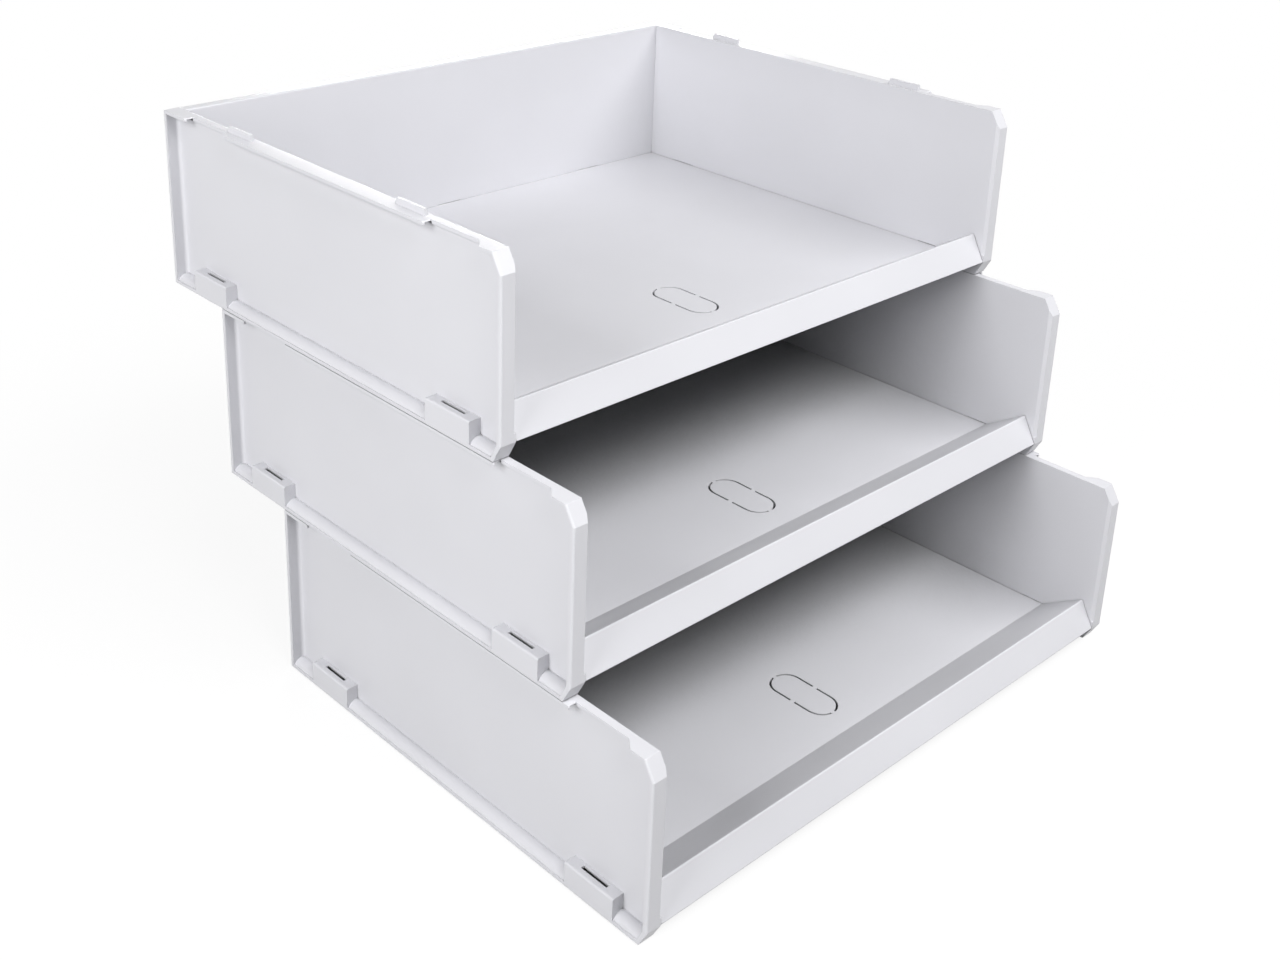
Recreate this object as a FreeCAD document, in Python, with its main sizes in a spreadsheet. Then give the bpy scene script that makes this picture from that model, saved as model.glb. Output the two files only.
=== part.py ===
import FreeCAD, Part
import os
import Sketcher

Vector = FreeCAD.Vector
os.makedirs("parts", exist_ok=True)
document = FreeCAD.newDocument("letter_trays")

# The sizes of one tray and of the stack, in millimetres.
# X runs along the front, Y from the front to the back, Z up.
# One tray's own zero is the middle of its front, at the level that it rests on.
DRIVING = {
    # one tray, outside
    "tray_width": 350.0,
    "tray_depth": 265.0,
    "tray_height": 92.7,
    # how far each tray is set back on the one below, and the gap between them
    "upper_setback": 46.0,
    "lower_setback": 50.0,
    "seat_gap": 0.3,
    # side panel: a thin wall with flanges that stand outwards
    "wall": 2.0,
    "flange_reach": 6.5,
    "flange_thick": 1.8,
    "post_thick": 2.6,
    "back_flange": 2.0,
    "rim_reach": 2.0,
    "rim_fall": 0.1,
    # the cut corners of the front post, its rounded edge and its inner bevel above the lip
    "top_cut_run": 5.4,
    "top_cut_drop": 8.8,
    "foot_cut_run": 4.6,
    "foot_cut_rise": 8.4,
    "cut_step": 1.5,
    "post_round": 1.0,
    "bevel_run": 2.0,
    "bevel_side": 1.1,
    "bevel_foot": 12.4,
    # bottom rail: a thin ledge with a rounded bead on it
    "ledge_thick": 1.6,
    "bead_reach": 5.7,
    "bead_rise": 2.9,
    "bead_radius": 5.0,
    # clip housings on the rail
    "housing_front": 20.6,
    "housing_pitch": 193.7,
    "housing_length": 30.4,
    "housing_height": 12.4,
    "housing_skin": 1.2,
    "housing_round": 1.0,
    "vent_length": 16.0,
    "vent_width": 2.0,
    "vent_inset": 1.4,
    # gaps in the top flange above the clip housings
    "gap_spare": 1.2,
    "gap_slant": 5.5,
    "beak_run": 0.6,
    "beak_drop": 0.9,
    "hollow_run": 6.0,
    "hollow_rise": 1.1,
    "hollow_bite": 1.1,
    "corner_round": 1.8,
    # runners on the top flange, and the groove that they slide in
    "runner_front": 55.6,
    "runner_pitch": 135.7,
    "runner_length": 21.0,
    "runner_inset": 0.4,
    "runner_thick": 1.4,
    "runner_rise": 3.2,
    "runner_slope": 1.5,
    "groove_front": 5.4,
    "groove_back": 262.5,
    "groove_play": 0.3,
    # base: the floor and the folded front lip
    "floor_top": 8.6,
    "sheet": 2.0,
    "side_seam": 0.3,
    "lip_height": 23.2,
    "lip_lean": 7.9,
    "ramp_end": 31.9,
    "crest_round": 0.8,
    # the tongues that hold the base in the other panels
    "tongue_width": 15.4,
    "tongue_reach": 4.0,
    "tongue_play": 0.3,
    "back_tongue_pitch": 110.0,
    "back_tongue_reach": 1.5,
    # knock-out oval in the floor
    "oval_centre": 65.0,
    "oval_length": 40.0,
    "oval_width": 18.5,
    "oval_slit": 1.1,
    "bridge": 2.4,
    # back panel, with a rounded crest and edges that stand in rebates in the side walls
    "back_panel": 2.0,
    "back_crest": 0.8,
    "back_edge": 4.0,
    "back_seam": 0.1,
    "edge_reach": 1.0,
    "rebate_depth": 1.2,
    "rebate_foot": 14.0,
    "rebate_head": 80.0,
}

sheet = document.addObject("Spreadsheet::Sheet", "Sizes")
for row, (alias, millimetres) in enumerate(DRIVING.items(), start=1):
    sheet.set(f"A{row}", alias)
    sheet.set(f"B{row}", str(millimetres))
    sheet.setAlias(f"B{row}", alias)
document.recompute()


class Size:
    """A length: its number now, and the expression that ties it to the sheet."""

    def __init__(self, number, text):
        self.number = number
        self.text = text

    def __add__(self, other):
        other = as_size(other)
        return Size(self.number + other.number, f"({self.text} + {other.text})")

    def __sub__(self, other):
        other = as_size(other)
        return Size(self.number - other.number, f"({self.text} - {other.text})")

    def __mul__(self, factor):
        return Size(self.number * factor, f"({self.text} * {factor})")

    def __truediv__(self, factor):
        return Size(self.number / factor, f"({self.text} / {factor})")

    def __neg__(self):
        return Size(-self.number, f"(-1 * {self.text})")


def as_size(value):
    return value if isinstance(value, Size) else Size(float(value), str(float(value)))


def size(alias):
    return Size(DRIVING[alias], f"Sizes.{alias}")


NONE = as_size(0)

# Places across the tray, outwards from its middle
outer_side = size("tray_width") / 2
wall_outer = outer_side - size("flange_reach")
wall_inner = wall_outer - size("wall")
rim_side = wall_outer + size("rim_reach")
base_side = wall_inner - size("side_seam")
back_side = wall_inner - size("back_seam")
runner_inner = wall_outer + size("runner_inset")
runner_outer = runner_inner + size("runner_thick")
groove_inner = runner_inner - size("groove_play")
groove_outer = runner_outer + size("groove_play")
housing_inside = outer_side - size("housing_skin")
vent_inner = wall_outer + size("vent_inset")

# Places up the tray
top = size("tray_height")
flange_under = top - size("flange_thick")
floor_top = size("floor_top")
floor_under = floor_top - size("sheet")
runner_top = top + size("runner_rise")
tray_pitch = top + size("seat_gap")
groove_roof = size("runner_rise") - size("seat_gap")
housing_top = size("housing_height")
cavity_top = housing_top - size("housing_skin")
cavity_foot = groove_roof + size("housing_skin")

# Places from the front to the back
depth = size("tray_depth")
flange_front = depth - size("back_flange")
back_outer = depth - size("back_edge")
back_inner = back_outer - size("back_panel")
floor_back = back_inner - size("back_seam")
housing_starts = [size("housing_front"), size("housing_front") + size("housing_pitch")]
housing_ends = [start + size("housing_length") for start in housing_starts]
tongue_middles = [start + size("housing_length") / 2 for start in housing_starts]
runner_starts = [size("runner_front"), size("runner_front") + size("runner_pitch")]


def new_body(name, setback, level):
    """Make the body of one panel and stand it in its tray's place in the stack."""
    body = document.addObject("PartDesign::Body", name)
    body.Label = name
    body.setExpression(".Placement.Base.y", setback.text)
    body.setExpression(".Placement.Base.z", level.text)
    return body


def new_sketch(body, plane, name, lift=NONE):
    """Lay a sketch on one of the body's own planes, lifted along the plane's normal."""
    drawing = body.newObject("Sketcher::SketchObject", f"{body.Name}_{name}_sketch")
    origin_plane = next(item for item in body.Origin.OriginFeatures if item.Role == plane)
    drawing.AttachmentSupport = [(origin_plane, "")]
    drawing.MapMode = "FlatFace"
    drawing.setExpression(".AttachmentOffset.Base.z", lift.text)
    return drawing


def pin(drawing, item, end, place):
    """Hold one end of a line or an arc at a place."""
    for kind, axis, value in (("DistanceX", -2, place[0]), ("DistanceY", -1, place[1])):
        if value.number == 0.0:
            drawing.addConstraint(Sketcher.Constraint("PointOnObject", item, end, axis))
        else:
            rule = Sketcher.Constraint(kind, -1, 1, item, end, value.number)
            index = drawing.addConstraint(rule)
            drawing.setExpression(f"Constraints[{index}]", value.text)


def at(place):
    return Vector(place[0].number, place[1].number, 0)


def add_outline(drawing, corners, bulges=None):
    """Draw a closed outline through the corners.

    A bulge turns a side into an arc of its radius, or into a half circle if that is None.
    """
    bulges = bulges or {}
    first = drawing.GeometryCount
    ends = []
    for place, corner in enumerate(corners):
        following = corners[(place + 1) % len(corners)]
        if place in bulges:
            radius, way = bulges[place]
            chord = at(following) - at(corner)
            span = chord.Length / 2
            across = Vector(chord.y, -chord.x, 0).normalize() * way
            rise = span if radius is None else radius.number - (radius.number ** 2 - span ** 2) ** 0.5
            crown = at(corner) + chord / 2 + across * rise
            item = drawing.addGeometry(Part.Arc(at(corner), crown, at(following)))
            ends.append((1, 2) if way > 0 else (2, 1))
            if radius is None:
                rule = Sketcher.Constraint("DistanceY", -1, 1, item, 3, corner[1].number)
                value = corner[1]
            else:
                rule = Sketcher.Constraint("Radius", item, radius.number)
                value = radius
            index = drawing.addConstraint(rule)
            drawing.setExpression(f"Constraints[{index}]", value.text)
        else:
            item = drawing.addGeometry(Part.LineSegment(at(corner), at(following)))
            ends.append((1, 2))
    total = len(corners)
    for place, corner in enumerate(corners):
        before = (place - 1) % total
        meet = Sketcher.Constraint(
            "Coincident", first + before, ends[before][1], first + place, ends[place][0])
        drawing.addConstraint(meet)
        pin(drawing, first + place, ends[place][0], corner)


def box_corners(left, right, near, far):
    return [(left, near), (right, near), (right, far), (left, far)]


def solid_step(body, kind, name, drawing, length, reverse=False):
    """Add or remove the sketched outline over a length."""
    step = body.newObject(kind, f"{body.Name}_{name}")
    step.Profile = drawing
    step.setExpression("Length", length.text)
    step.Reversed = reverse
    drawing.Visibility = False
    document.recompute()
    return step


def round_edges(body, base, name, radius, wanted):
    """Round the edges of a step whose middle points are the wanted ones."""
    picked = []
    for number, edge in enumerate(base.Shape.Edges, start=1):
        middle = edge.valueAt((edge.FirstParameter + edge.LastParameter) / 2)
        if any((middle - point).Length < 0.05 for point in wanted):
            picked.append(f"Edge{number}")
    step = body.newObject("PartDesign::Fillet", f"{body.Name}_{name}")
    step.Base = (base, picked)
    step.setExpression("Radius", radius.text)
    document.recompute()
    return step


def side_panel(name, side, setback, level):
    """A side wall with its post, flanges, rail, clip housings, runners and groove."""
    body = new_body(name, setback, level)

    def out(value):
        return value if side > 0 else -value

    def side_step(kind, label, lift, outlines, length, outwards):
        drawing = new_sketch(body, "YZ_Plane", label, out(lift))
        for corners in outlines:
            add_outline(drawing, corners)
        adds = kind == "PartDesign::Pad"
        reverse = (side > 0) != outwards if adds else (side > 0) == outwards
        return solid_step(body, kind, label, drawing, length, reverse)

    def plan_step(kind, label, lift, outlines, length, upwards):
        drawing = new_sketch(body, "XY_Plane", label, lift)
        for corners in outlines:
            add_outline(drawing, [(out(across), along) for across, along in corners])
        adds = kind == "PartDesign::Pad"
        return solid_step(body, kind, label, drawing, length, adds != upwards)

    # The slab that the flanges are cut from, with the post's two cut corners
    slab = side_step("PartDesign::Pad", "slab", wall_inner, [[
        (size("foot_cut_run"), NONE), (depth, NONE), (depth, top), (size("top_cut_run"), top),
        (NONE, top - size("top_cut_drop")), (NONE, size("foot_cut_rise")),
    ]], outer_side - wall_inner, True)

    edge_x = out(outer_side).number
    front_top = top.number - DRIVING["top_cut_drop"]
    foot = DRIVING["foot_cut_rise"]
    round_edges(body, slab, "post_round", size("post_round"), [
        Vector(edge_x, 0, (front_top + foot) / 2),
        Vector(edge_x, DRIVING["top_cut_run"] / 2, (front_top + top.number) / 2),
    ])

    # The recess outside the wall leaves the flanges, the post and the ledge
    recess = side_step("PartDesign::Pocket", "recess", outer_side, [[
        (size("foot_cut_run") + size("cut_step"), size("ledge_thick")),
        (flange_front, size("ledge_thick")), (flange_front, flange_under),
        (size("top_cut_run") + size("cut_step"), flange_under),
        (size("post_thick"), top - size("top_cut_drop")),
        (size("post_thick"), size("foot_cut_rise")),
    ]], size("flange_reach"), False)

    corner_x = out(wall_outer).number
    round_edges(body, recess, "corner_round", size("corner_round"), [
        Vector(corner_x, DRIVING["post_thick"], (front_top + foot) / 2),
        Vector(corner_x, flange_front.number, (flange_under.number + DRIVING["ledge_thick"]) / 2),
    ])

    # The bevel between the wall and the front face of the post
    plan_step("PartDesign::Pocket", "bevel", top, [[
        (wall_inner, NONE), (wall_inner + size("bevel_side"), NONE), (wall_inner, size("bevel_run")),
    ]], top - size("bevel_foot"), False)

    # The top flange falls away outside its ridge
    drawing = new_sketch(body, "XZ_Plane", "fall", NONE)
    add_outline(drawing, [
        (out(rim_side), top), (out(outer_side), top), (out(outer_side), top - size("rim_fall"))])
    solid_step(body, "PartDesign::Pocket", "fall", drawing, depth, False)

    # The bead along the rail
    drawing = new_sketch(body, "XZ_Plane", "bead", -size("foot_cut_run"))
    bead_top = size("ledge_thick") + size("bead_rise")
    add_outline(drawing, [
        (out(wall_outer), size("ledge_thick")),
        (out(wall_outer + size("bead_reach")), size("ledge_thick")),
        (out(wall_outer), bead_top),
    ], {1: (size("bead_radius"), side)})
    solid_step(body, "PartDesign::Pad", "bead", drawing, flange_front - size("foot_cut_run"), True)

    # The clip housings, hollow and open below outside the groove
    housings = plan_step("PartDesign::Pad", "housings", NONE, [
        box_corners(wall_outer, outer_side, start, end)
        for start, end in zip(housing_starts, housing_ends)
    ], housing_top, True)
    round_edges(body, housings, "housing_round", size("housing_round"), [
        Vector(edge_x, middle.number, housing_top.number) for middle in tongue_middles])
    skin = size("housing_skin")
    side_step("PartDesign::Pocket", "cavities", wall_outer, [
        box_corners(start + skin, end - skin, cavity_foot, cavity_top)
        for start, end in zip(housing_starts, housing_ends)
    ], housing_inside - wall_outer, True)
    plan_step("PartDesign::Pocket", "cavity_mouths", NONE, [
        box_corners(groove_outer + skin, housing_inside, start + skin, end - skin)
        for start, end in zip(housing_starts, housing_ends)
    ], cavity_top, True)

    # The windows that the tongues of the base pass through
    half_window = size("tongue_width") / 2 + size("tongue_play")
    side_step("PartDesign::Pocket", "windows", wall_outer, [
        box_corners(middle - half_window, middle + half_window,
                    floor_under, floor_top + size("tongue_play"))
        for middle in tongue_middles
    ], size("wall"), False)

    # The vent slots in the tops of the housings
    half_vent = size("vent_length") / 2
    plan_step("PartDesign::Pocket", "vents", housing_top, [
        box_corners(vent_inner, vent_inner + size("vent_width"), middle - half_vent, middle + half_vent)
        for middle in tongue_middles
    ], skin, False)

    # The groove below, whose roof rests on the runners of the tray below
    plan_step("PartDesign::Pocket", "groove", NONE, [
        box_corners(groove_inner, groove_outer, size("groove_front"), size("groove_back")),
    ], groove_roof, True)

    # The gaps in the top flange above the housings, and the beaks behind them
    spare = size("gap_spare")
    plan_step("PartDesign::Pocket", "gaps", top, [
        [(rim_side, start - spare), (outer_side, start - spare - size("gap_slant")),
         (outer_side, end), (rim_side, end)]
        for start, end in zip(housing_starts, housing_ends)
    ], size("flange_thick") + spare, False)
    side_step("PartDesign::Pocket", "beaks", outer_side, [
        [(end, top), (end + size("beak_run"), top), (end, top - size("beak_drop"))]
        for end in housing_ends
    ], outer_side - rim_side, False)

    # The flange is hollow behind each beak
    side_step("PartDesign::Pocket", "hollows", outer_side - skin, [
        box_corners(end - size("gap_spare") / 4, end + size("hollow_run"),
                    flange_under - size("hollow_bite"), flange_under + size("hollow_rise"))
        for end in housing_ends
    ], outer_side - skin - wall_outer + size("hollow_bite"), False)

    # The runners that the next tray slides on
    side_step("PartDesign::Pad", "runners", runner_inner, [
        [(start, top), (start + size("runner_length"), top),
         (start + size("runner_length") - size("runner_slope"), runner_top), (start, runner_top)]
        for start in runner_starts
    ], size("runner_thick"), True)

    # The rebate for the edge of the back panel
    side_step("PartDesign::Pocket", "rebate", wall_inner, [
        box_corners(back_inner, back_outer, size("rebate_foot"), size("rebate_head")),
    ], size("rebate_depth"), True)
    return body


def base_panel(name, setback, level):
    """The floor with its folded lip, its tongues and the knock-out oval."""
    body = new_body(name, setback, level)
    thick = size("sheet")
    lip_height = size("lip_height")
    lean = size("lip_lean")
    ramp_end = size("ramp_end")

    # The folded sheet, seen from the side
    drawing = new_sketch(body, "YZ_Plane", "fold", -base_side)
    add_outline(drawing, [
        (NONE, floor_top), (thick * 1.14, floor_top),
        (lean + thick * 0.38, lip_height - thick * 1.39),
        (ramp_end - thick * 0.28, floor_under), (floor_back, floor_under),
        (floor_back, floor_top), (ramp_end, floor_top), (lean, lip_height),
    ])
    fold = solid_step(body, "PartDesign::Pad", "fold", drawing, base_side * 2, False)
    round_edges(body, fold, "crest", size("crest_round"), [
        Vector(0, lean.number, lip_height.number)])

    # The tongues at the sides and at the back
    half = size("tongue_width") / 2
    reach = wall_outer + size("tongue_reach")
    drawing = new_sketch(body, "XY_Plane", "tongues", floor_under)
    for middle in tongue_middles:
        add_outline(drawing, box_corners(-reach, reach, middle - half, middle + half))
    solid_step(body, "PartDesign::Pad", "tongues", drawing, thick)
    drawing = new_sketch(body, "XY_Plane", "back_tongues", floor_under)
    for middle in (-size("back_tongue_pitch"), NONE, size("back_tongue_pitch")):
        add_outline(drawing, box_corners(
            middle - half, middle + half, floor_back - thick, back_outer + size("back_tongue_reach")))
    solid_step(body, "PartDesign::Pad", "back_tongues", drawing, thick)

    # The knock-out oval: a slit all round, then the four bridges across it
    drawing = new_sketch(body, "XY_Plane", "oval", floor_top)
    slit = size("oval_slit")
    centre = size("oval_centre")
    for inset in (NONE, slit):
        radius = size("oval_width") / 2 - inset
        run = size("oval_length") / 2 - size("oval_width") / 2
        add_outline(drawing, [
            (-radius, centre - run), (radius, centre - run),
            (radius, centre + run), (-radius, centre + run),
        ], {0: (None, 1), 2: (None, 1)})
    solid_step(body, "PartDesign::Pocket", "oval", drawing, thick)
    drawing = new_sketch(body, "XY_Plane", "bridges", floor_under)
    half = size("bridge") / 2
    side_far = size("oval_width") / 2 + slit
    side_near = size("oval_width") / 2 - slit * 2
    end_far = size("oval_length") / 2 + slit
    end_near = size("oval_length") / 2 - slit * 2
    add_outline(drawing, box_corners(-side_far, -side_near, centre - half, centre + half))
    add_outline(drawing, box_corners(side_near, side_far, centre - half, centre + half))
    add_outline(drawing, box_corners(-half, half, centre - end_far, centre - end_near))
    add_outline(drawing, box_corners(-half, half, centre + end_near, centre + end_far))
    solid_step(body, "PartDesign::Pad", "bridges", drawing, thick)
    return body


def back_panel(name, setback, level):
    """The back wall with its two flanges, its edges and the slots for the base."""
    body = new_body(name, setback, level)

    def back_step(kind, label, lift, outlines, length, backwards):
        drawing = new_sketch(body, "XZ_Plane", label, -lift)
        for corners in outlines:
            add_outline(drawing, corners)
        adds = kind == "PartDesign::Pad"
        return solid_step(body, kind, label, drawing, length, adds == backwards)

    plate = back_step("PartDesign::Pad", "plate", back_inner, [
        box_corners(-back_side, back_side, NONE, top)], size("back_panel"), True)
    round_edges(body, plate, "crest", size("back_crest"), [
        Vector(0, back_inner.number, top.number)])
    edge_side = wall_inner + size("edge_reach")
    back_step("PartDesign::Pad", "edges", back_inner, [
        box_corners(-edge_side, edge_side, size("rebate_foot"), size("rebate_head")),
    ], size("back_panel"), True)
    back_step("PartDesign::Pad", "flanges", back_outer, [
        box_corners(-back_side, back_side, flange_under, top),
        box_corners(-back_side, back_side, NONE, size("ledge_thick")),
    ], size("back_edge"), True)

    # The top flange falls away towards the back
    drawing = new_sketch(body, "YZ_Plane", "fall", back_side)
    ridge = back_inner + size("rim_reach")
    add_outline(drawing, [(ridge, top), (depth, top), (depth, top - size("rim_fall"))])
    solid_step(body, "PartDesign::Pocket", "fall", drawing, back_side * 2)

    # The slots for the three tongues of the base
    half = size("tongue_width") / 2 + size("tongue_play")
    back_step("PartDesign::Pocket", "slots", back_inner, [
        box_corners(middle - half, middle + half, floor_under, floor_top + size("tongue_play"))
        for middle in (-size("back_tongue_pitch"), NONE, size("back_tongue_pitch"))
    ], size("back_panel"), True)
    return body


# The stack: the middle of its whole depth stands at zero
stack_depth = depth + size("lower_setback") + size("upper_setback")
bottom_front = -(stack_depth / 2)
middle_front = bottom_front + size("lower_setback")
top_front = middle_front + size("upper_setback")

panels = []
for tray, setback, level in (
        ("bottom", bottom_front, NONE),
        ("middle", middle_front, tray_pitch),
        ("top", top_front, tray_pitch * 2)):
    panels.append(base_panel(f"{tray}_base", setback, level))
    panels.append(back_panel(f"{tray}_back", setback, level))
    panels.append(side_panel(f"{tray}_left_side", -1, setback, level))
    panels.append(side_panel(f"{tray}_right_side", 1, setback, level))
document.recompute()

faults = [item.Name for item in document.Objects
          if "Invalid" in item.State or "Error" in item.State]
if faults:
    raise RuntimeError(f"steps that failed: {faults}")
for body in panels:
    if body.Shape.isNull() or not body.Shape.isValid() or len(body.Shape.Solids) != 1:
        raise RuntimeError(f"{body.Label} is not one sound solid")
    body.Shape.exportStep(f"parts/{body.Label}.step")
    box = body.Shape.BoundBox
    print(body.Label, round(body.Shape.Volume, 1), [round(value, 2) for value in (
        box.XMin, box.XMax, box.YMin, box.YMax, box.ZMin, box.ZMax)])
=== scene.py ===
# %% [markdown]
# # A stack of letter trays
# Three equal trays of pale, satin plastic stand on each other, each one set back a little on the
# one below. Their shapes come from the CAD frame and stay as they are. This lesson gives them their
# plastic, puts them in a white studio and stands the camera where the photograph was taken.

import math

import bmesh
import bpy
from mathutils import Matrix, Vector


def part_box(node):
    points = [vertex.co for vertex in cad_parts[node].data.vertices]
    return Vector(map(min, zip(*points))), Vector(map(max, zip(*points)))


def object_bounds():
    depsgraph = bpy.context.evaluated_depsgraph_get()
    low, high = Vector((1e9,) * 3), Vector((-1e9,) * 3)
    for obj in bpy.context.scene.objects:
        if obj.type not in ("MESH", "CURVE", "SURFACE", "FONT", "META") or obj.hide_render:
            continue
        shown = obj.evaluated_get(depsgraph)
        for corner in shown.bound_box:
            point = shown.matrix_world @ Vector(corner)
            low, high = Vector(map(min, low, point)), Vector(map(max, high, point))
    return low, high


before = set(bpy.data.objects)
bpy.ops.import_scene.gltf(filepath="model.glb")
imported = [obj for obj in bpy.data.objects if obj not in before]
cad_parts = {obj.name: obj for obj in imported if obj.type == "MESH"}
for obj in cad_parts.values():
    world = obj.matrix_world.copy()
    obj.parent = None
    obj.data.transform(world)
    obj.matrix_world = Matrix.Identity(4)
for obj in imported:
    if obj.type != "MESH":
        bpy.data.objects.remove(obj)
cad_low, cad_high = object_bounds()
print("CAD box in millimetres:", [round(v * 1000, 1) for v in (cad_high - cad_low)])

# %% [markdown]
# ## Helpers for the node trees
# Each material below is a small tree of nodes, which takes three kinds of work: making a node,
# joining an output to an input, and turning a number into a colour. Noise is read at the place of
# each point, because an image would need a layout on every wall.

# %% Make, join, colour and scatter
NOISE_LOW, NOISE_HIGH = 0.3, 0.7


def add(material, kind, **inputs):
    """A new node of one kind, with some of its inputs set by name."""
    node = material.node_tree.nodes.new(kind)
    for name, value in inputs.items():
        node.inputs[name.replace("_", " ")].default_value = value
    return node


def join(material, output, socket):
    material.node_tree.links.new(output, socket)


def between(material, amount, *stops):
    """A colour between two stops, each a place on the ramp and a colour."""
    ramp = add(material, "ShaderNodeValToRGB")
    for element, (at, colour) in zip(ramp.color_ramp.elements, stops):
        element.position = at
        element.color = (*colour, 1.0)
    join(material, amount, ramp.inputs["Fac"])
    return ramp.outputs["Color"]


def noise(material, size, detail=2.0):
    """Noise whose blots are about one size in metres."""
    place = add(material, "ShaderNodeTexCoord")
    blots = add(material, "ShaderNodeTexNoise", Scale=1.0 / size, Detail=detail)
    join(material, place.outputs["Object"], blots.inputs["Vector"])
    return blots.outputs["Fac"]


print("most noise lies between", NOISE_LOW, "and", NOISE_HIGH)

# %% [markdown]
# ## The colour of the plastic
# The trays are injection moulded in a very light grey with a breath of blue. Hot plastic flows into
# the mould in sheets, so the shade drifts by a percent or so over a hand's width. A large, weak
# noise does that.

# %% Let the shade drift
PLASTIC_COLOUR = (0.62, 0.62, 0.65)
FLOW_SIZE = 0.09
FLOW_CHANGE = 0.02


def flowing_shade(material):
    """The base colour, a little lighter and darker where the plastic flowed."""
    darker, lighter = (
        [v * (1.0 + change) for v in PLASTIC_COLOUR] for change in (-FLOW_CHANGE, FLOW_CHANGE)
    )
    flow = noise(material, FLOW_SIZE)
    return between(material, flow, (NOISE_LOW, darker), (NOISE_HIGH, lighter))


print("shade drifts by", FLOW_CHANGE * 100, "percent each way")

# %% [markdown]
# ## Painted shade in slots and deep corners
# The vent slots, the hollow beaks of the rails and the gaps round the knock-out are narrow, and
# look almost black. Light does little there, so shade is painted into the base colour. An Ambient
# Occlusion node with a short reach finds the slots by their shape alone, and one with a long reach
# finds the depth of the lower trays and paints shade there too, so both work from every side and at
# every pose. Light that bounces from wall to wall in the depth takes on more of the plastic's blue
# each time, so the painted shade of the depth gives a little of that blue back.

# %% Paint shade where it is narrow or deep
# Painted shade: the base colour drops to these shares in slots and in the depth of the lower trays.
SLOT_REACH, SLOT_PAINTED_SHADE, SLOT_OPEN = 0.002, (0.10, 0.10, 0.10), 0.40
DEPTH_REACH, DEPTH_PAINTED_SHADE, DEPTH_OPEN = 0.25, (0.39, 0.40, 0.37), 0.18
FULLY_CLOSED = 0.04
FEELER_RAYS = 6
UNCHANGED = (1.0, 1.0, 1.0)


def with_painted_shade_where_enclosed(material, colour, reach, shade, open_above):
    """The colour with painted shade, down to a share of itself where the surroundings close in
    within the reach.
    """
    hollow = add(material, "ShaderNodeAmbientOcclusion", Distance=reach)
    hollow.samples = FEELER_RAYS
    share = between(
        material, hollow.outputs["AO"], (FULLY_CLOSED, shade), (open_above, UNCHANGED)
    )
    both = add(material, "ShaderNodeMix")
    both.data_type = "RGBA"
    both.blend_type = "MULTIPLY"
    both.inputs["Factor"].default_value = 1.0
    colours = [socket for socket in both.inputs if socket.type == "RGBA"]
    join(material, colour, colours[0])
    join(material, share, colours[1])
    return next(socket for socket in both.outputs if socket.type == "RGBA")


print("slots darken within", SLOT_REACH * 1000, "mm, depths within", DEPTH_REACH * 1000, "mm")

# %% [markdown]
# ## The surface of the plastic
# The mould was polished, then blasted very finely. That leaves a satin skin: broad soft highlights,
# and just a hint of a mirror image at a flat angle. The grain is a tiny bump, and the roughness
# drifts with wear. A Bevel node rounds the look of each sharp edge by a fraction of a millimetre,
# as a mould does, so the edges catch a thin line of light without a single new face.

# %% Grain, satin and soft edges
EDGE_ROUND = 0.0004
GRAIN_SIZE, GRAIN_HEIGHT, GRAIN_STRENGTH = 0.0006, 0.00001, 0.5
SATIN, RUBBED = 0.36, 0.28
MIRROR_SHARE = 0.3
RUB_SIZE = 0.03


def satin_skin(material, shader):
    """Roughness, mirror share, soft edges and grain on the shader."""
    drift = add(material, "ShaderNodeMapRange", From_Min=NOISE_LOW, From_Max=NOISE_HIGH,
                To_Min=RUBBED, To_Max=SATIN)
    join(material, noise(material, RUB_SIZE), drift.inputs["Value"])
    join(material, drift.outputs["Result"], shader.inputs["Roughness"])
    shader.inputs["Specular IOR Level"].default_value = MIRROR_SHARE
    edges = add(material, "ShaderNodeBevel", Radius=EDGE_ROUND)
    edges.samples = FEELER_RAYS
    grain = add(material, "ShaderNodeBump", Strength=GRAIN_STRENGTH, Distance=GRAIN_HEIGHT)
    join(material, noise(material, GRAIN_SIZE, detail=1.0), grain.inputs["Height"])
    join(material, edges.outputs["Normal"], grain.inputs["Normal"])
    join(material, grain.outputs["Normal"], shader.inputs["Normal"])


print("edges look rounded by", EDGE_ROUND * 1000, "mm")

# %% [markdown]
# ## Put the plastic on the trays
# All twelve mouldings are of one plastic, so they share one material. It goes into the material
# slot of each CAD piece, whose mesh is left alone.

# %% Make the material and assign it
tray_plastic = bpy.data.materials.new("tray_plastic")
tray_plastic.use_nodes = True
plastic_shader = tray_plastic.node_tree.nodes["Principled BSDF"]
shade = flowing_shade(tray_plastic)
# Painted shade in the slots, beaks and gaps, darkened into the base colour.
shade = with_painted_shade_where_enclosed(tray_plastic, shade, SLOT_REACH, SLOT_PAINTED_SHADE, SLOT_OPEN)
# Painted shade in the depth of the lower trays, darkened into the base colour.
shade = with_painted_shade_where_enclosed(tray_plastic, shade, DEPTH_REACH, DEPTH_PAINTED_SHADE, DEPTH_OPEN)
join(tray_plastic, shade, plastic_shader.inputs["Base Color"])
satin_skin(tray_plastic, plastic_shader)

for name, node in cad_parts.items():
    node.data.materials.clear()
    node.data.materials.append(tray_plastic)
nodes_used = len(tray_plastic.node_tree.nodes)
print("painted:", len(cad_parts), "pieces with", nodes_used, "nodes")

# %% [markdown]
# ## White for the camera alone
# The photograph has a pure white ground. A white floor that is lit so hard would wash out the
# trays, so the floor and the room shine plain white only for the camera's rays, for mirror images
# and through clear things. All other light sees them as they are.

# %% Tell the camera's rays from the rest
def math_node(material, operation, *values):
    """A Math node on numbers or outputs."""
    node = add(material, "ShaderNodeMath")
    node.operation = operation
    for socket, value in zip(node.inputs, values):
        if isinstance(value, (int, float)):
            socket.default_value = value
        else:
            join(material, value, socket)
    return node.outputs[0]


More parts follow.
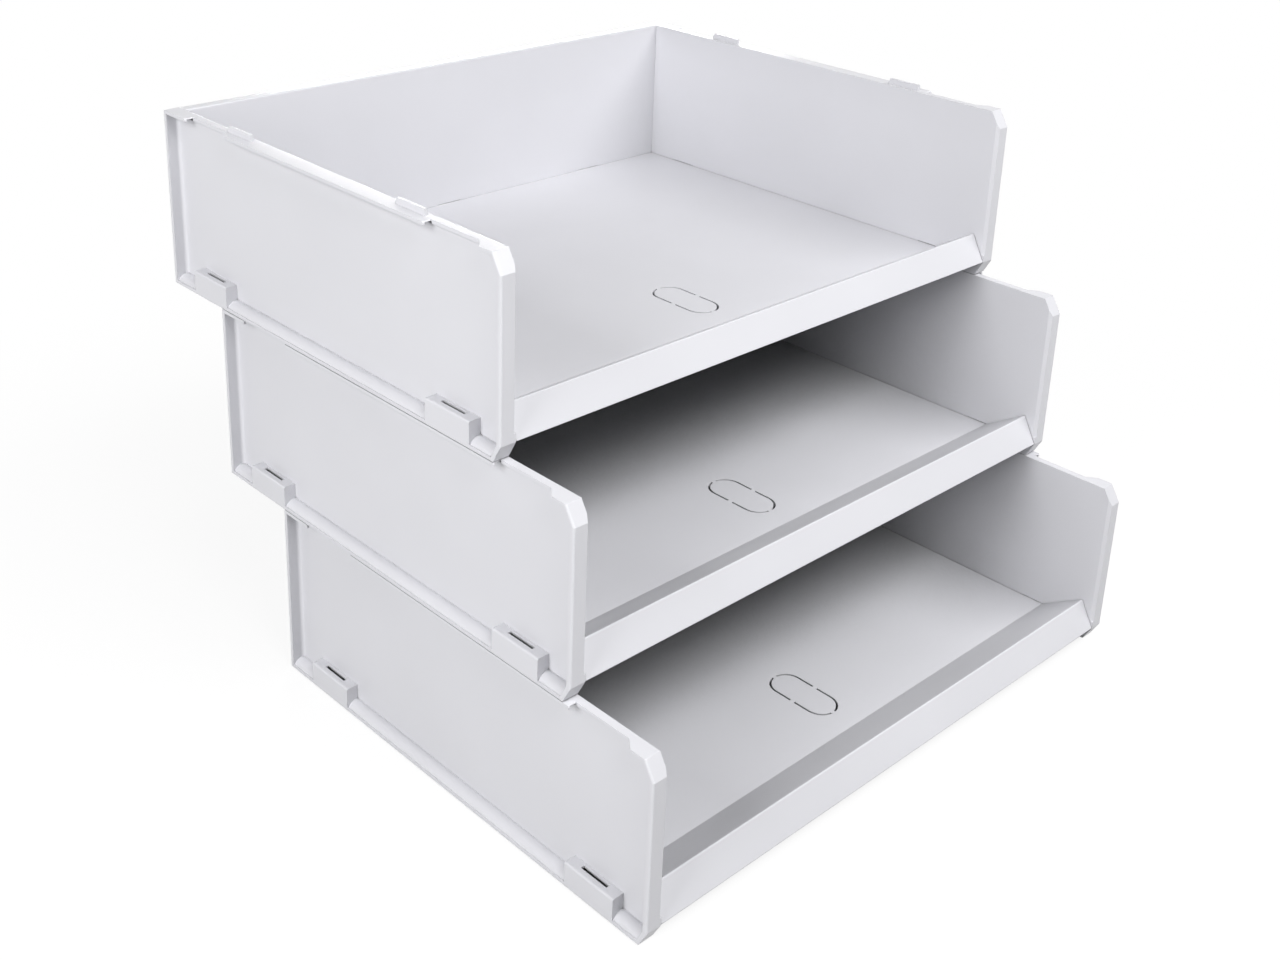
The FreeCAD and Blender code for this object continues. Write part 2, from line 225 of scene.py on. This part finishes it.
def shown_white(material):
    """One for the camera's rays, mirror images and clear things, nought for all other light."""
    rays = add(material, "ShaderNodeLightPath").outputs
    bent = math_node(material, "MAXIMUM", rays["Is Glossy Ray"], rays["Is Transmission Ray"])
    return math_node(material, "MAXIMUM", rays["Is Camera Ray"], bent)


print("the white is for camera, glossy and transmission rays")

# %% [markdown]
# ## The floor
# Close to the trays a share of real shading is mixed into the white, which keeps a breath of their
# shadow. Right under them the floor is all real, so that no white shines up through the gaps.

# %% Make the floor
FLOOR_GREY, FLOOR_ROUGHNESS = 0.35, 0.9
FLOOR_HALF = 4.0
FLOOR_DROP = 0.0005
SHADOW_SHARE = 0.15
SHADOW_NEAR, SHADOW_FAR = 0.25, 0.6
UNDER_INSET = 0.012


def under_the_trays(material, place, low, high):
    """One inside the foot of the stack, nought outside it."""
    sides = add(material, "ShaderNodeSeparateXYZ")
    join(material, place, sides.inputs[0])
    across = math_node(material, "COMPARE", sides.outputs["X"],
                       (low.x + high.x) / 2, (high.x - low.x) / 2 - UNDER_INSET)
    along = math_node(material, "COMPARE", sides.outputs["Y"],
                      (low.y + high.y) / 2, (high.y - low.y) / 2 - UNDER_INSET)
    return math_node(material, "MULTIPLY", across, along)


def studio_floor(low, high):
    """A material that is grey to the light and white to the camera, but real near the trays."""
    material = bpy.data.materials.new("floor")
    material.use_nodes = True
    shader = material.node_tree.nodes["Principled BSDF"]
    shader.inputs["Roughness"].default_value = FLOOR_ROUGHNESS
    place = add(material, "ShaderNodeTexCoord").outputs["Object"]
    distance = add(material, "ShaderNodeVectorMath")
    distance.operation = "LENGTH"
    join(material, place, distance.inputs[0])
    away = add(material, "ShaderNodeMapRange", From_Min=SHADOW_NEAR, From_Max=SHADOW_FAR,
               To_Min=1.0 - SHADOW_SHARE, To_Max=1.0)
    join(material, distance.outputs["Value"], away.inputs["Value"])
    under = under_the_trays(material, place, low, high)
    open_floor = math_node(material, "SUBTRACT", 1.0, under)
    seen = math_node(material, "MULTIPLY", shown_white(material), open_floor)
    grey = add(material, "ShaderNodeMapRange", To_Min=FLOOR_GREY, To_Max=1.0)
    join(material, seen, grey.inputs["Value"])
    join(material, grey.outputs["Result"], shader.inputs["Base Color"])
    white = add(material, "ShaderNodeEmission", Strength=1.0)
    mix = add(material, "ShaderNodeMixShader")
    join(material, math_node(material, "MULTIPLY", seen, away.outputs["Result"]), mix.inputs[0])
    join(material, shader.outputs["BSDF"], mix.inputs[1])
    join(material, white.outputs["Emission"], mix.inputs[2])
    result = material.node_tree.nodes["Material Output"]
    join(material, mix.outputs["Shader"], result.inputs["Surface"])
    return material


floor_mesh = bpy.data.meshes.new("floor")
floor_form = bmesh.new()
bmesh.ops.create_grid(floor_form, x_segments=1, y_segments=1, size=FLOOR_HALF)
floor_form.to_mesh(floor_mesh)
floor_form.free()
foot_low, foot_high = (Vector(corner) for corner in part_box("bottom_base"))
floor_mesh.materials.append(studio_floor(foot_low, foot_high))
floor = bpy.data.objects.new("floor", floor_mesh)
floor.location.z = cad_low.z - FLOOR_DROP
bpy.context.scene.collection.objects.link(floor)
print("floor lies at", round(floor.location.z * 1000, 2), "mm")

# %% [markdown]
# ## The white room
# A weak, even light from all round stands for the walls of the studio. The camera sees plain white
# in its place, by the same helper as on the floor.

# %% Light the room
ROOM_LIGHT = 0.01
WHITE = (1.0, 1.0, 1.0, 1.0)

world = bpy.data.worlds.new("studio")
world.use_nodes = True
bpy.context.scene.world = world
room = world.node_tree.nodes["Background"]
room.inputs["Color"].default_value = WHITE
room.inputs["Strength"].default_value = ROOM_LIGHT
backdrop = add(world, "ShaderNodeBackground", Color=WHITE, Strength=1.0)
room_mix = add(world, "ShaderNodeMixShader")
join(world, shown_white(world), room_mix.inputs[0])
join(world, room.outputs["Background"], room_mix.inputs[1])
join(world, backdrop.outputs["Background"], room_mix.inputs[2])
join(world, room_mix.outputs["Shader"], world.node_tree.nodes["World Output"].inputs["Surface"])
print("room light:", ROOM_LIGHT)

# %% [markdown]
# ## The lamps
# The photograph tells where its lamps were. The right wall of the top tray casts a soft shadow on
# its floor, and the light under each upper tray fades at about 50 degrees, so the key light is a
# large soft box high in front on the right. The outer walls on the left are nearly as bright, which
# takes a second box on the left. A weaker one, low behind on the right, gives the floor of the top
# tray its sheen and shows the back in other views.

# %% Hang the soft boxes
CENTRE = Vector((0.0, 0.0, 0.14))


def soft_box(name, place, size, power):
    """A rectangular lamp that looks at the middle of the stack."""
    lamp = bpy.data.lights.new(name, "AREA")
    lamp.shape = "RECTANGLE"
    lamp.size, lamp.size_y = size
    lamp.energy = power
    holder = bpy.data.objects.new(name, lamp)
    holder.location = place
    holder.rotation_euler = (CENTRE - Vector(place)).to_track_quat("-Z", "Y").to_euler()
    bpy.context.scene.collection.objects.link(holder)
    away = round((CENTRE - Vector(place)).length, 2)
    print(name, "hangs", away, "m away with", power, "W")


soft_box("key_box", place=(0.225, -0.98, 1.31), size=(1.95, 0.6), power=32.0)
soft_box("left_box", place=(-1.5, -0.13, 0.82), size=(0.8, 1.0), power=23.5)
soft_box("back_box", place=(1.1, 1.4, 0.3), size=(0.8, 0.5), power=20.0)

# %% [markdown]
# ## The camera
# The camera stands in front on the left and looks down on the stack. Its place, turn and lens were
# worked out from the corners of the trays in the photograph. The picture was cut out of a larger
# one, so the lens looks past its middle, and a small shift puts it right.

# %% Stand the camera where the photograph was taken
PICTURE_WIDTH, PICTURE_HEIGHT = 1280, 960
EYE = Vector((-0.55477, -0.54215, 0.50248))
TURN, DROP, ROLL = 44.072, 20.887, -1.929
FOCAL_PIXELS = 1619.4
OPTICAL_AXIS = (617.29, 265.39)
SENSOR = 36.0

turn, drop, roll = (math.radians(v) for v in (TURN, DROP, ROLL))
forward = Vector((
    math.sin(turn) * math.cos(drop),
    math.cos(turn) * math.cos(drop),
    -math.sin(drop),
))
right = Vector((math.cos(turn), -math.sin(turn), 0.0))
down = forward.cross(right)
right, down = (
    right * math.cos(roll) + down * math.sin(roll),
    down * math.cos(roll) - right * math.sin(roll),
)
camera_data = bpy.data.cameras.new("camera")
camera_data.sensor_width = SENSOR
camera_data.lens = FOCAL_PIXELS / PICTURE_WIDTH * SENSOR
camera_data.shift_x = (PICTURE_WIDTH / 2 - OPTICAL_AXIS[0]) / PICTURE_WIDTH
camera_data.shift_y = (OPTICAL_AXIS[1] - PICTURE_HEIGHT / 2) / PICTURE_WIDTH
camera = bpy.data.objects.new("camera", camera_data)
axes = Matrix((right, -down, -forward)).transposed()
camera.matrix_world = Matrix.Translation(EYE) @ axes.to_4x4()
bpy.context.scene.collection.objects.link(camera)
bpy.context.scene.camera = camera
bpy.context.scene.view_settings.view_transform = "Standard"
print("lens:", round(camera_data.lens, 2), "mm")
